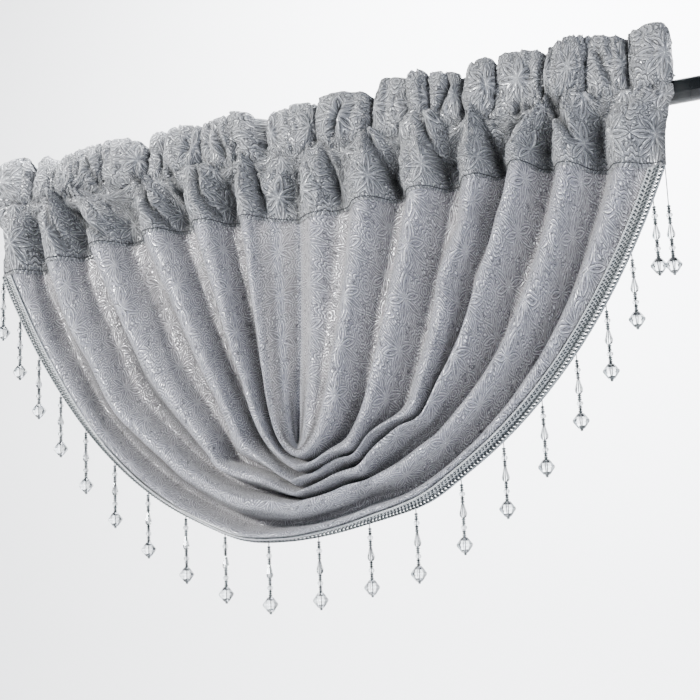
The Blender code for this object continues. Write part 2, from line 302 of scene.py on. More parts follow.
def valley_share(phase, along):
    """How deep in its valley the cloth is, from 0 on a crest to 1 on the valley's flat floor.
    Low down the crests are broad lips and the valleys are narrow and tucked up under them."""
    low_down = np.maximum(0.0, 1 - 2.6 * np.abs(along))
    from_middle = np.abs(2 * phase ** (1 + 0.8 * low_down) - 1)
    down = np.clip((1 - from_middle) / (VALLEY_WALL + 0.2 * low_down), 0.0, 1.0) ** 1.3
    return down ** 2 * (3 - 2 * down)


def swag_points(depth, along):
    """The cloth's points. depth counts the folds from the pocket out to the hem."""
    index = np.minimum(depth.astype(int), LAST - 1)
    phase = depth - index
    turn = 2 * math.pi * phase
    valley = valley_share(phase, along)
    crest, following = crest_points(index, along), crest_points(index + 1, along)
    room = np.hypot(following[..., 0] - crest[..., 0], following[..., 2] - crest[..., 2])
    dip = three_way(DIPS[index], along) * np.minimum(1.0, room / FULL_DEPTH_ROOM)
    dip *= 1 - SHALLOWER * np.exp(-((np.abs(along) - HALFWAY_UP) / 0.28) ** 2)
    roundness = FOLD_ROUNDNESS * np.clip(room / FULL_DEPTH_ROOM - 1, 0.0, 1.0)
    share = phase + np.where(dip > 0, roundness * np.sin(turn) / (2 * math.pi), 0.0)
    points = (1 - share)[..., None] * crest + share[..., None] * following
    points[..., 1] += dip * valley
    points[..., 2] += VALLEY_TUCK * valley * np.maximum(0.0, 1 - 3 * np.abs(along))
    return points


# The folds aren't even: where they cross low down they are pushed a little out of line. One
# row for each push: its middle (x, z), its reach, and how far it moves the cloth in x, y and z.
PUSHES = (
    (-77, -334, 22, -7, -2, -6), (-30, -366, 26, 2, -3, 5), (69, -339, 17, 4, -4, -7),
    (134, -304, 24, 6, -3, -6), (97, -338, 20, -4, 2, 4), (76, -371, 15, 3, -4, -6),
    (128, -331, 18, -3, 0, 5), (28, -356, 16, 0, -3, -4), (76, -388, 22, -2, 2, 5),
    (-61, -403, 42, 0, -6, -6), (60, -418, 40, 0, 7, 3), (150, -407, 30, 3, -6, -4),
    (-120, -361, 34, -3, 5, 0), (-216, -250, 40, -5, -3, -3), (200, -270, 30, 5, -3, 2),
    (197, -103, 17, 6, 0, 0), (219, -103, 15, -5, 0, 0), (190, -168, 28, -6, -3, 0),
)


def pushed(points):
    """The points, with the pushes applied."""
    moved = points.copy()
    for x, z, reach, *push in PUSHES:
        off = (points[..., 0] - x) ** 2 + (points[..., 2] - z) ** 2
        moved += np.exp(-off / reach ** 2)[..., None] * np.array(push, dtype=float)
    return moved


def grid_lengths(points, axis):
    """How much cloth lies before each point of a grid, measured along one axis of it."""
    steps = np.linalg.norm(np.diff(points, axis=axis), axis=-1)
    total = np.cumsum(steps, axis=axis)
    first = np.zeros_like(np.take(total, [0], axis=axis))
    return np.concatenate((first, total), axis=axis)


def grid_normals(points):
    """The unit normals of a grid of points."""
    normals = np.cross(np.gradient(points, axis=0), np.gradient(points, axis=1))
    return normals / np.maximum(np.linalg.norm(normals, axis=-1, keepdims=True), 1e-9)


def soft_noise(first, second, seed):
    """Smooth noise from -1 to 1 over two numbers."""
    flat = [noise.noise(Vector((a, b, seed))) for a, b in zip(first.ravel(), second.ravel())]
    return np.array(flat).reshape(first.shape)


def cloth_sheet(name, points, cloth_mm, values, surface):
    """A grid of cloth: its points in mm, its flat places in mm and its named values."""
    rows, columns = points.shape[0] - 1, points.shape[1] - 1
    shape = bmesh.new()
    bmesh.ops.create_grid(shape, x_segments=columns, y_segments=rows, size=0.5)
    flat = shape.loops.layers.uv.new("cloth")
    layers = [(shape.verts.layers.float.new(key), value) for key, value in values.items()]
    spots = {}
    for corner in shape.verts:
        spot = round((corner.co.y + 0.5) * rows), round((corner.co.x + 0.5) * columns)
        spots[corner] = spot
        corner.co = Vector(points[spot]) * MM
        for layer, value in layers:
            corner[layer] = value[spot]
    for face in shape.faces:
        for loop in face.loops:
            loop[flat].uv = cloth_mm[spots[loop.vert]] * MM
    return finished(name, shape, surface)


# Rows lie evenly in the cloth, so they are placed by how much cloth each fold holds halfway
# up its arms, and columns lie closer together round the low point.
coarse = np.linspace(0.0, LAST, 2001)
held = grid_lengths(swag_points(coarse, np.full(coarse.size, HALFWAY_UP)), 0)
held += grid_lengths(swag_points(coarse, np.full(coarse.size, -HALFWAY_UP)), 0)
ROW_DEPTHS = np.interp(np.linspace(0.0, held[-1], SWAG_ROWS + 1), held, coarse)
share = np.linspace(-1.0, 1.0, SWAG_COLUMNS + 1)
ALONGS = np.sign(share) * np.abs(share) ** LOW_POINT_CROWDING
depth_grid, along_grid = np.meshgrid(ROW_DEPTHS, ALONGS, indexing="ij")

# The cloth stops a little short of the hem's outline, where the braid's open loops stand out.
HEM_SAMPLES = 900
INSET_SAMPLES = 41
CLOTH_SHORT_OF_HEM = 5.6
hem_share = np.linspace(-1.0, 1.0, HEM_SAMPLES + 1)
inset_depths = np.linspace(LAST, LAST - 1.0, INSET_SAMPLES)
cloth_near_hem = pushed(swag_points(np.repeat(inset_depths[:, None], HEM_SAMPLES + 1, axis=1),
                                    np.repeat(hem_share[None, :], INSET_SAMPLES, axis=0)))
inset_lengths = grid_lengths(cloth_near_hem, 0)
cloth_ends = [np.interp(CLOTH_SHORT_OF_HEM, lengths, inset_depths) for lengths in inset_lengths.T]
kept = np.interp(ALONGS, hem_share, cloth_ends) - (LAST - 1)
depth_grid = np.where(depth_grid > LAST - 1, LAST - 1 + (depth_grid - LAST + 1) * kept, depth_grid)
swag_grid = pushed(swag_points(depth_grid, along_grid))
fold_lengths = grid_lengths(swag_grid, 1)
middle = np.argmin(np.abs(ALONGS))
swag_u = fold_lengths - fold_lengths[:, middle:middle + 1]
across = grid_lengths(swag_grid, 0)
swag_v = 0.5 * across + 0.5 * across.mean(axis=1, keepdims=True)

# Long soft creases: the middle (x, z), the length, its slope in degrees, the width,
# and how far it stands ahead.
LONG_CREASES = (
    (212, -150, 60, -112, 7, 6), (184, -160, 130, -98, 8, -3), (323, -157, 90, -120, 9, 3.5),
    (287, -207, 130, -119, 9, -4), (-216, -167, 90, -63, 9, 4), (-187, -135, 90, -63, 8, -3.5),
    (-78, -201, 80, -81, 6, 3), (-291, -163, 80, -62, 8, 3.5), (132, -155, 80, -103, 7, 3),
    (57, -170, 100, -99, 7, -3), (203, -297, 100, -124, 8, 3.5), (-30, -200, 110, -84, 7, 3),
    (-150, -300, 110, -50, 9, 4), (-260, -230, 100, -56, 8, -3), (20, -412, 120, 8, 8, 4),
    (-110, -395, 90, -24, 7, -3), (250, -330, 110, 42, 8, 4), (-330, -150, 70, -66, 7, -3),
)
spread_over = swag_grid[..., [0, 2]]
hand_creases = np.zeros(depth_grid.shape)
for x, z, long, slope, wide, ahead in LONG_CREASES:
    slope = math.radians(slope)
    off_x, off_z = spread_over[..., 0] - x, spread_over[..., 1] - z
    down = off_x * math.cos(slope) + off_z * math.sin(slope)
    aside = off_z * math.cos(slope) - off_x * math.sin(slope)
    hand_creases += ahead * np.exp(-(2 * down / long) ** 4) * np.exp(-(aside / wide) ** 2)

# Where each place of the grid is: its share of the way from one crest to the next, how deep
# in the valley, and how far below the seam.
phase = depth_grid - np.floor(depth_grid)
valley_grid = valley_share(phase, along_grid)
from_seam = np.minimum(fold_lengths, fold_lengths[:, -1:] - fold_lengths)
swag_normals = grid_normals(swag_grid)


def wrinkles(height, long, wide, seed):
    """Soft creases that run down the folds, this high, long and wide."""
    return height * soft_noise(swag_u / long, swag_v / wide, seed)


# Soft creases run down the folds, small gathers fade out below the seam, and the cloth is
# calm at its three edges, where it is held.
creases = wrinkles(height=1.5, long=95, wide=17, seed=3.1) * np.clip(from_seam / 60, 0.0, 1.0)
creases += wrinkles(height=1.6, long=70, wide=7.5, seed=8.4) * np.exp(-from_seam / 45)
creases += wrinkles(height=0.5, long=22, wide=12, seed=5.7)
CALM_AT_POCKET = 25.0
CALM_AT_HEM = 30.0
CALM_AT_SEAM = 8.0
calm = np.clip(across / CALM_AT_POCKET, 0.0, 1.0)
calm *= np.clip((across[-1:] - across) / CALM_AT_HEM, 0.0, 1.0)
calm *= np.clip(from_seam / CALM_AT_SEAM, 0.0, 1.0)
swag_grid = swag_grid + swag_normals * (creases * calm)[..., None]
swag_grid[..., 1] -= hand_creases * calm


# The jacquard's own design, in metres of flat cloth: stars and flowers in turn on a square
# lattice, with leaves between them, all drawn with raised lines.
REPEAT = 0.052
LATTICE_START = 60.0 * REPEAT
WANDER = 0.0026
WANDER_SCALE = 75.0
PETALS = 8.0
PETAL_MIDDLE = 0.0125
PETAL_BOW = 22.0
STAR_RADIUS = 0.0225
STAR_SCALLOP = 0.003
STAR_LINES = 0.8
FLOWER_PETALS = 4.0
FLOWER_SCALLOP = 0.24
FLOWER_RADIUS = 0.0145
LEAF_SCALE = 300.0
BREAK_SCALE = 150.0
WEAVE_SCALE = 420.0
MOTTLE_SCALE = 30.0
PAINTED_GLINT_SCALE = 700.0


def jacquard(name, ground, line, relief, pitch, painted_backlight, shade):
    """Silver jacquard: raised lustrous lines, pitch apart and relief high, on a matte ground, with
    painted shadow in the hollows beside the lines and painted highlights on them. The ground is
    painted a warmer grey in the folds' valleys, as if lit through from behind, and the cloth is
    painted to shade where it is deep."""
    cloth = Nodes(name)
    flat = cloth.node("ShaderNodeUVMap", uv_map="cloth").outputs[0]
    wander = cloth.node("ShaderNodeTexNoise", flat, None, WANDER_SCALE, 3.0, 0.6).outputs["Color"]
    shift = cloth.vector("SCALE", cloth.vector("SUBTRACT", wander, (0.5, 0.5, 0.5)))
    shift.node.inputs["Scale"].default_value = WANDER
    spot = cloth.vector("ADD", flat, shift)

    def motif(offset):
        """How far a spot is from the nearest motif of a lattice, and its angle round it."""
        moved = cloth.vector("ADD", spot, (offset, offset, 0.0))
        cell = cloth.vector("MODULO", cloth.vector("ADD", moved, (LATTICE_START,) * 3),
                            (REPEAT,) * 3)
        inside = cloth.vector("SUBTRACT", cell, (REPEAT / 2, REPEAT / 2, 0.0))
        parts = cloth.node("ShaderNodeSeparateXYZ", inside)
        x, y = parts.outputs[0], parts.outputs[1]
        far = cloth.maths("SQRT", cloth.maths("ADD", cloth.maths("MULTIPLY", x, x),
                                              cloth.maths("MULTIPLY", y, y)))
        return far, cloth.maths("ARCTAN2", y, x)

    def stripes(distance, spacing):
        """Raised lines at a spacing: 1 on a line, 0 in the ground, -1 in the hollow beside it."""
        turn = cloth.maths("MULTIPLY", distance, 2 * math.pi / spacing)
        thread = cloth.ramp(cloth.maths("COSINE", turn), 0.1, 0.8)
        return cloth.maths("SUBTRACT", thread, cloth.ramp(cloth.maths("SINE", turn), 0.3, 0.9))

    def from_cell_edge(place, scale):
        """How far a place is from the edge of its cell, in cells of an uneven net."""
        cells = cloth.node("ShaderNodeTexVoronoi", place, None, scale, feature="DISTANCE_TO_EDGE")
        return cells.outputs["Distance"]

    # A star's petals are outlined by bowed lines, which meet their neighbours' in chevrons.
    far, angle = motif(0.0)
    petal = cloth.maths("PINGPONG", cloth.maths("ADD", angle, 2 * math.pi), math.pi / PETALS)
    out = cloth.maths("MULTIPLY", far, cloth.maths("COSINE", petal))
    aside = cloth.maths("MULTIPLY", far, cloth.maths("SINE", petal))
    off_middle = cloth.maths("SUBTRACT", out, PETAL_MIDDLE)
    bowed = cloth.maths("MULTIPLY", cloth.maths("MULTIPLY", off_middle, off_middle), PETAL_BOW)
    star = stripes(cloth.maths("ADD", bowed, aside), STAR_LINES * pitch)
    eye = cloth.ramp(far, 0.0016, 0.0008, -1.0, 0.8)
    star = cloth.maths("MULTIPLY", star, cloth.ramp(far, 0.001, 0.006, 0.35, 1.0))
    star = cloth.maths("MAXIMUM", star, eye)
    scallop = cloth.maths("COSINE", cloth.maths("MULTIPLY", angle, PETALS))
    star_edge = cloth.maths("ADD", STAR_RADIUS, cloth.maths("MULTIPLY", STAR_SCALLOP, scallop))
    # A flower is scalloped rings round a small eye.
    near, turn = motif(REPEAT / 2)
    scallop = cloth.maths("COSINE", cloth.maths("MULTIPLY", turn, FLOWER_PETALS))
    drawn_in = cloth.maths("MULTIPLY", cloth.maths("ABSOLUTE", scallop), FLOWER_SCALLOP)
    ring = cloth.maths("MULTIPLY", near,
                       cloth.maths("SUBTRACT", 1 + FLOWER_SCALLOP / 2, drawn_in))
    flower = stripes(ring, pitch)
    # Leaves fill the rest: short blocky dashes.
    from_leaf_edge = from_cell_edge(spot, LEAF_SCALE)
    leaves = cloth.maths("SUBTRACT", cloth.ramp(from_leaf_edge, 0.12, 0.24),
                         cloth.ramp(from_leaf_edge, 0.09, 0.03))
    breaks = cloth.ramp(from_cell_edge(flat, BREAK_SCALE), 0.015, 0.07, 0.15, 1.0)
    past_flower = cloth.ramp(ring, FLOWER_RADIUS, FLOWER_RADIUS + 0.002)
    pattern = cloth.node("ShaderNodeMix", past_flower, None, flower, leaves)
    past_star = cloth.ramp(cloth.maths("SUBTRACT", far, star_edge), -0.001, 0.001)
    pattern = cloth.node("ShaderNodeMix", past_star, None, star, pattern.outputs[0])
    woven = cloth.maths("MULTIPLY", pattern.outputs[0], breaks)
    raised = cloth.maths("MAXIMUM", woven, 0.0)
    painted_hollow_shade = cloth.maths("MAXIMUM", cloth.maths("MULTIPLY", woven, -0.9), 0.0)

    # Under the lines runs a fine twill, and its tone is a little uneven.
    weave = cloth.node("ShaderNodeTexWave", flat, WEAVE_SCALE, bands_direction="DIAGONAL")
    mottle = cloth.clouds(flat, MOTTLE_SCALE, 3.0)
    painted_glint = cloth.clouds(flat, PAINTED_GLINT_SCALE, 2.0)
    valley = cloth.node("ShaderNodeAttribute", attribute_name="valley").outputs["Fac"]
    deep = cloth.node("ShaderNodeAttribute", attribute_name="deep").outputs["Fac"]
    # Painted light: the ground is painted a warmer grey in the folds' valleys, as if lit through
    # the cloth from behind.
    colour = cloth.blend(cloth.maths("MULTIPLY", valley, 0.6), ground, painted_backlight)
    # Painted highlights: the lines are painted brighter in random patches, where their threads
    # would catch the light.
    colour = cloth.blend(cloth.maths("MULTIPLY", raised, cloth.ramp(painted_glint, 0.35, 0.65, 0.5, 1.0)),
                         colour, line)
    # Painted shadow: the hollows beside the lines and round the leaves are painted dark.
    colour = cloth.blend(painted_hollow_shade, colour, tuple(0.13 * part for part in ground[:3]) + (1.0,))
    colour = cloth.blend(cloth.ramp(mottle, 0.35, 0.65, 0.0, 0.16), colour,
                         tuple(0.82 * part for part in ground[:3]) + (1.0,))
    # Painted shade: the colour darkens towards the shade colour where the deep value is high.
    colour = cloth.blend(cloth.maths("MULTIPLY", deep, 0.8), colour, shade)
    raised_up = cloth.bump(woven, relief, 1.0)
    cloth.surface(
        Base_Color=colour,
        Metallic=cloth.ramp(raised, 0.3, 1.0, 0.0, 0.35),
        Roughness=cloth.ramp(raised, 0.0, 1.0, 0.66, 0.3),
        Normal=cloth.bump(weave.outputs["Fac"], 0.00012, 0.5, raised_up),
        Specular_IOR_Level=0.5, Sheen_Weight=0.25, Sheen_Roughness=0.4)
    return cloth.material


# Painted shade: the colour is darkened in the valleys where the folds cross low down, and under
# the lips of the folds on the left, where little light gets in.
crossing = np.clip(1.25 - 3.2 * np.abs(along_grid), 0.0, 1.0) * np.clip(6.8 - depth_grid, 0.35, 1.0)
left_arm = np.clip(-along_grid / 0.1, 0.0, 1.0) * np.clip((1 + along_grid) / 0.3, 0.0, 1.0)
under_lip = np.clip((phase - 0.12) / 0.08, 0.0, 1.0) * np.clip(1 - (phase - 0.35) / 0.5, 0.0, 1.0)
under_lip *= left_arm * np.clip(depth_grid - 4.3, 0.55, 1.0) * (depth_grid < LAST - 1)
shaded = np.maximum(valley_grid ** 2 * crossing, under_lip)
swag_cloth = jacquard(
    "silver_jacquard", ground=(0.25, 0.257, 0.302, 1.0), line=(0.94, 0.96, 1.0, 1.0),
    relief=0.0013, pitch=0.0033, painted_backlight=(0.335, 0.31, 0.302, 1.0), shade=(0.03, 0.031, 0.036, 1.0))
swag = cloth_sheet("swag_cloth", swag_grid, np.stack([swag_u, swag_v], axis=-1),
                   {"valley": valley_grid, "deep": shaded}, swag_cloth)
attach(swag, "root")
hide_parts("swag")

# ---------------------------------------------------------------------------
# The heading: the same cloth doubled, gathered onto the rod. Below the rod its front bulges
# into a bud over each fold, pinched to a peak at the rod, and above it stands in frilled lobes.
# ---------------------------------------------------------------------------
HEADING_COLUMNS = 700
HEADING_STEP = 3.4
WIDER_AT_ROD = 1.035
ROD_ROOM = 14.0
ON_ROD_Y = -14.3
PINCH_Z = 3.0
SMOOTHED_OVER = 12
BUD_SHARE = 0.84
BUD_BULGE = 10.0
LOBE_FULLNESS = 0.55
LOBE_SQUARENESS = 4.2
FIRST_NOTCH = 50.0
LAST_NOTCH = 62.0
# One row for each bud from the left: the fold it grows from, counted from the pocket with
# the left arm's folds below zero, its peak's (x, z), how slim its peak and how broad its top
# is, and how far it puffs.
Bud = namedtuple("Bud", "fold peak_x peak_z slim broad puff")
BUDS = (
    Bud(-7, -386, 4, 1.0, 1.4, 3), Bud(-6, -327, 11, 1.9, 1.1, 11),
    Bud(-5, -297, 14, 2.2, 0.8, 11), Bud(-4, -196, 13, 2.3, 0.8, 12),
    Bud(-3, -124, 10, 1.2, 2.2, 10), Bud(-2, -62, 12, 2.0, 1.0, 11),
    Bud(-1, -20, 3, 1.0, 1.0, 2), Bud(1, 22, 7, 1.2, 1.2, 5), Bud(2, 94, 15, 1.8, 1.2, 12),
    Bud(3, 157, 20, 1.1, 2.4, 11), Bud(4, 215, 20, 2.8, 0.7, 13), Bud(5, 290, 10, 2.4, 0.8, 11),
    Bud(6, 322, 15, 1.4, 1.6, 9), Bud(7, 388, 5, 1.1, 1.2, 3),
)
# One row for each lobe from the left: where it ends at the right, its height and that of the
# notch after it, how far it stands ahead, how far it leans and tips up to the right, and where
# across it a crease runs down, from -1 to 1.
Lobe = namedtuple("Lobe", "right top dip ahead lean tip crease")
LOBES = (
    Lobe(-363, 66, 50, 0, -4, 6, 0.45), Lobe(-327, 62, 44, -4, 6, -12, 0.0),
    Lobe(-256, 62, 46, 2, 3, 9, 0.1), Lobe(-194, 63, 40, 4, -4, -10, -0.35),
    Lobe(-172, 68, 42, -5, -2, 3, 0.0), Lobe(-121, 64, 44, 3, 2, -3, 0.3),
    Lobe(-65, 69, 50, -1, -4, 2, -0.3), Lobe(-36, 67, 58, 4, -20, -6, 0.0),
    Lobe(27, 65, 55, -2, -2, 5, -0.35), Lobe(92, 67, 56, 4, 2, -4, 0.3),
    Lobe(141, 76, 64, -3, 9, -12, -0.2), Lobe(166, 74, 63, 3, -3, 3, 0.0),
    Lobe(204, 71, 62, -2, -6, -5, 0.2), Lobe(238, 72, 60, 3, 4, 5, 0.0),
    Lobe(292, 77, 68, -2, 3, -5, 0.3), Lobe(338, 75, 66, 4, 6, 6, -0.4),
    Lobe(384, 76, 69, -3, -4, -6, 0.25), Lobe(455, 75, 66, 0, 0, 2, -0.6),
)

seam_points = np.concatenate((swag_points(ROW_DEPTHS[::-1], np.full(SWAG_ROWS + 1, -1.0)),
                              swag_points(ROW_DEPTHS[1:], np.full(SWAG_ROWS, 1.0))))
seam_folds = np.concatenate((-ROW_DEPTHS[::-1], ROW_DEPTHS[1:]))
seam_length = grid_lengths(seam_points, 0)
spots = np.linspace(0.0, seam_length[-1], HEADING_COLUMNS + 1)
seam = np.stack([np.interp(spots, seam_length, seam_points[:, k]) for k in range(3)], axis=-1)
folds_here = np.interp(spots, seam_length, seam_folds)


def share_between(edges, middles):
    """Which span each column is in, and its place from -1 to 1 between the span's edges."""
    span = np.clip(np.searchsorted(edges, spots, side="right") - 1, 0, len(middles) - 1)
    start, middle, end = edges[span], middles[span], edges[span + 1]
    side = np.where(spots < middle, (spots - middle) / np.maximum(middle - start, 1e-6),
                    (spots - middle) / np.maximum(end - middle, 1e-6))
    return span, np.clip(side, -1.0, 1.0)


def by_edges(values, span, side):
    """The value at the edge of the span that each column is nearer to."""
    return np.where(side < 0, values[span], values[span + 1])


def mix(first, second, share):
    """The value that lies this share of the way from the first to the second."""
    return first + (second - first) * share


# Across the buds: their edges are the valleys of the folds below.
valleys = [-LAST] + [(one.fold + two.fold) / 2 for one, two in zip(BUDS, BUDS[1:])] + [LAST]
bud_edges = np.interp(valleys, folds_here, spots)
bud_middles = np.interp([bud.fold for bud in BUDS], folds_here, spots)
bud_span, bud_side = share_between(bud_edges, bud_middles)
from_crest = np.abs(bud_side)
bud_round = np.cos(from_crest * math.pi / 2)

# Along the rod the pinched cloth is spread so that the middle of each bud ends at its peak.
peaks = [bud.peak_x for bud in BUDS]
spread = np.interp(spots, [0.0, *bud_middles, spots[-1]],
                   [WIDER_AT_ROD * seam[0, 0], *peaks, WIDER_AT_ROD * seam[-1, 0]])
window = np.hanning(2 * SMOOTHED_OVER + 1)
longer = np.concatenate((2 * spread[0] - spread[SMOOTHED_OVER:0:-1], spread,
                         2 * spread[-1] - spread[-2:-SMOOTHED_OVER - 2:-1]))
even_x = np.convolve(longer, window / window.sum(), mode="valid")

# Each bud is round below, from its crest to the valleys beside it, and is drawn together to
# its peak at the rod, where it puffs out and may hang over.
crest_x = np.interp(bud_middles, spots, seam[:, 0])[bud_span]
crest_y = np.interp(bud_middles, spots, seam[:, 1])[bud_span]
edge_x = by_edges(np.interp(bud_edges, spots, seam[:, 0]), bud_span, bud_side)
edge_y = by_edges(np.interp(bud_edges, spots, seam[:, 1]), bud_span, bud_side)
peak_x, peak_z, slim, broad, puff = (np.array([getattr(bud, key) for bud in BUDS],
                                              dtype=float)[bud_span]
                                     for key in ("peak_x", "peak_z", "slim", "broad", "puff"))
round_x = crest_x + (edge_x - crest_x) * (from_crest + 0.15 * np.sin(from_crest * math.pi)
                                          / math.pi)
falling = np.clip(from_crest / BUD_SHARE, 0.0, 1.0) ** (0.65 + 0.6 * broad)
swell = 1 - falling ** 2 * (3 - 2 * falling)
round_y = edge_y + (crest_y - BUD_BULGE - edge_y) * swell
top_round = np.cos(from_crest ** broad * math.pi / 2)
pinch_edge = by_edges(np.interp(bud_edges, spots, even_x), bud_span, bud_side)
drawn_x = peak_x + (pinch_edge - peak_x) * from_crest ** slim
drawn_y = ON_ROD_Y - 1.25 * puff * top_round ** 1.3
drawn_z = mix(-6.0, peak_z, top_round)
overhang = np.clip((puff - 3.0) / 6.0, 0.0, 1.0) * top_round

# Across the lobes: each is an arc of cloth, seen from above, with its sides in the notches.
ends = np.array([even_x[0]] + [lobe.right for lobe in LOBES[:-1]] + [even_x[-1]])
lobe_edges = np.interp(ends, even_x, spots)
lobe_span, lobe_side = share_between(lobe_edges, (lobe_edges[1:] + lobe_edges[:-1]) / 2)
lobe_round = np.cos(lobe_side * math.pi / 2) ** LOBE_FULLNESS
left_end, right_end = ends[lobe_span], ends[lobe_span + 1]
arc_x = (left_end + right_end) / 2 + (right_end - left_end) / 2 * np.sin(lobe_side * math.pi / 2)
lobe_top, ahead, lean, tip, crease_at = (np.array([getattr(lobe, key) for lobe in LOBES],
                                                  dtype=float)[lobe_span]
                                         for key in ("top", "ahead", "lean", "tip", "crease"))
notches = np.array([FIRST_NOTCH] + [lobe.dip for lobe in LOBES[:-1]] + [LAST_NOTCH])
notch_z = by_edges(notches, lobe_span, lobe_side)
outline = notch_z + (lobe_top - notch_z) * (1 - np.abs(lobe_side) ** LOBE_SQUARENESS)
outline += tip * lobe_side * (1 - lobe_side ** 2)
crease = 6.5 * np.exp(-((lobe_side - crease_at) / 0.12) ** 2) * (crease_at != 0.0)


def frilled(height, notch_y, crest_y_here, creased):
    """A level of the frill: how high it is, and where its notches and its crests stand."""
    y = mix(notch_y + 3.0, crest_y_here - 1.7 * ahead, lobe_round) + creased * crease
    x = mix(even_x, arc_x, min(1.0, 0.4 + height)) + lean * height
    return np.stack([x, y, PINCH_Z + (outline - PINCH_Z) * height], axis=-1)


def flat_level(x, y, z):
    """A level of the section, from its columns' x, y and z."""
    return np.stack(np.broadcast_arrays(x, y, z), axis=-1)


ahead_way = np.gradient(seam, axis=0)[:, :2]
ahead_way /= np.linalg.norm(ahead_way, axis=1, keepdims=True)
square_x, square_y = -ahead_way[:, 1], ahead_way[:, 0]
wave = np.minimum(1.0, (seam[:, 1] + 14.0) / 18.0)
# The section's levels with how much cloth lies before each: up the front, over and down.
LEVELS = (
    (0.0, flat_level(seam[:, 0] - 0.9 * square_x, seam[:, 1] - 0.9 * square_y, seam[:, 2] - 1.5)),
    (16.0, flat_level(mix(seam[:, 0], round_x, 0.5), mix(seam[:, 1], round_y, 0.5) - 1.0,
                      mix(seam[:, 2], -30.0, 0.42))),
    (38.0, flat_level(mix(round_x, drawn_x, 0.12), round_y - 2.5 * swell, -33.0)),
    (54.0, flat_level(mix(round_x, drawn_x, 0.45), mix(round_y, drawn_y, 0.3),
                      mix(-19.0, -16.0, bud_round))),
    (68.0, flat_level(mix(round_x, drawn_x, 0.8), mix(round_y, drawn_y, 0.75),
                      mix(-12.0, mix(-16.0, peak_z, 0.5), bud_round))),
    (82.0, flat_level(drawn_x, drawn_y, drawn_z)),
    (87.0, flat_level(drawn_x, mix(ON_ROD_Y, drawn_y + 4.0, overhang),
                      mix(-3.0, peak_z + 0.6, overhang))),
    (96.0, flat_level(mix(drawn_x, even_x, 0.4), ON_ROD_Y, mix(2.0, 1.0, overhang))),
    (106.0, flat_level(mix(drawn_x, even_x, 0.8), mix(-12.0, -21.5 - 0.5 * ahead, lobe_round),
                       9.0)),
    (119.0, frilled(0.30, -8.0, -25.0, 0.6)),
    (140.0, frilled(0.66, -2.0, -22.5, 1.0)),
    (156.0, frilled(0.90, 4.0, -17.0, 1.0)),
    (166.0, frilled(1.0, 7.0, -10.0, 0.5)),
    (178.0, frilled(0.84, 12.0, -3.5, 0.0)),
    (204.0, frilled(0.40, 10.0, -0.5, 0.0)),
    (216.0, flat_level(even_x, 1.5, 17.0)),
    (226.0, flat_level(even_x, 11.2, 12.8)),
    (240.0, flat_level(even_x, 15.9 + 0.8 * wave, 0.0)),
    (256.0, flat_level(mix(seam[:, 0], even_x, 0.5), 15.2 + 1.2 * wave, -16.0)),
    (284.0, flat_level(mix(seam[:, 0], even_x, 0.15), 1.0 + 14.0 * wave, -42.0)),
    (312.0, flat_level(seam[:, 0] + 2.2 * square_x, seam[:, 1] + 2.2 * square_y,
                       seam[:, 2] + 0.5)),
)


def flowing(runs, values, wanted):
    """A smooth curve through values at runs, read at the wanted places."""
    slopes = np.gradient(values, runs, axis=0)
    index = np.clip(np.searchsorted(runs, wanted, side="right") - 1, 0, len(runs) - 2)
    width = runs[index + 1] - runs[index]
    t = ((wanted - runs[index]) / width)[:, None, None]
    width = width[:, None, None]
    start, end = values[index], values[index + 1]
    return ((1 + 2 * t) * (1 - t) ** 2 * start + t * (1 - t) ** 2 * width * slopes[index]
            + t ** 2 * (3 - 2 * t) * end + t ** 2 * (t - 1) * width * slopes[index + 1])


runs = np.array([run for run, level in LEVELS])
wanted = np.linspace(0.0, runs[-1], int(runs[-1] / HEADING_STEP) + 1)
heading_grid = flowing(runs, np.array([level for run, level in LEVELS]), wanted)
run_grid, spot_grid = np.meshgrid(wanted, spots, indexing="ij")


def sharp_lines(wide, slant, high, seed, breadth):
    """Slanting lines on the heading, 1 along them and 0 beside them."""
    off_line = np.abs(soft_noise(spot_grid / wide + run_grid / slant, run_grid / high, seed))
    return np.clip(1 - off_line / breadth, 0, 1) ** 2


# Small gathers radiate from where the rod pinches the cloth, in front and behind, and the
# puffed cloth is crumpled along sharp creases.
FRONT_PINCH = 93.0
BACK_PINCH = 218.0
near_pinch = np.exp(-np.abs(run_grid - FRONT_PINCH) / 17)
near_pinch += np.exp(-np.abs(run_grid - BACK_PINCH) / 14)
gathers = 2.4 * soft_noise(spot_grid / 7.0, run_grid / 60, 2.2) * near_pinch
crumple = 2.2 * soft_noise(spot_grid / 24, run_grid / 26, 6.5)
crumple -= 4.6 * sharp_lines(wide=22, slant=55, high=34, seed=9.1, breadth=0.14)
crumple += 2.0 * sharp_lines(wide=15, slant=-70, high=26, seed=4.7, breadth=0.18)
off_seam = np.clip(run_grid / 14, 0, 1) * np.clip((runs[-1] - run_grid) / 14, 0, 1)
heading_normals = grid_normals(heading_grid)
heading_grid = heading_grid - heading_normals * ((gathers + crumple) * off_seam)[..., None]

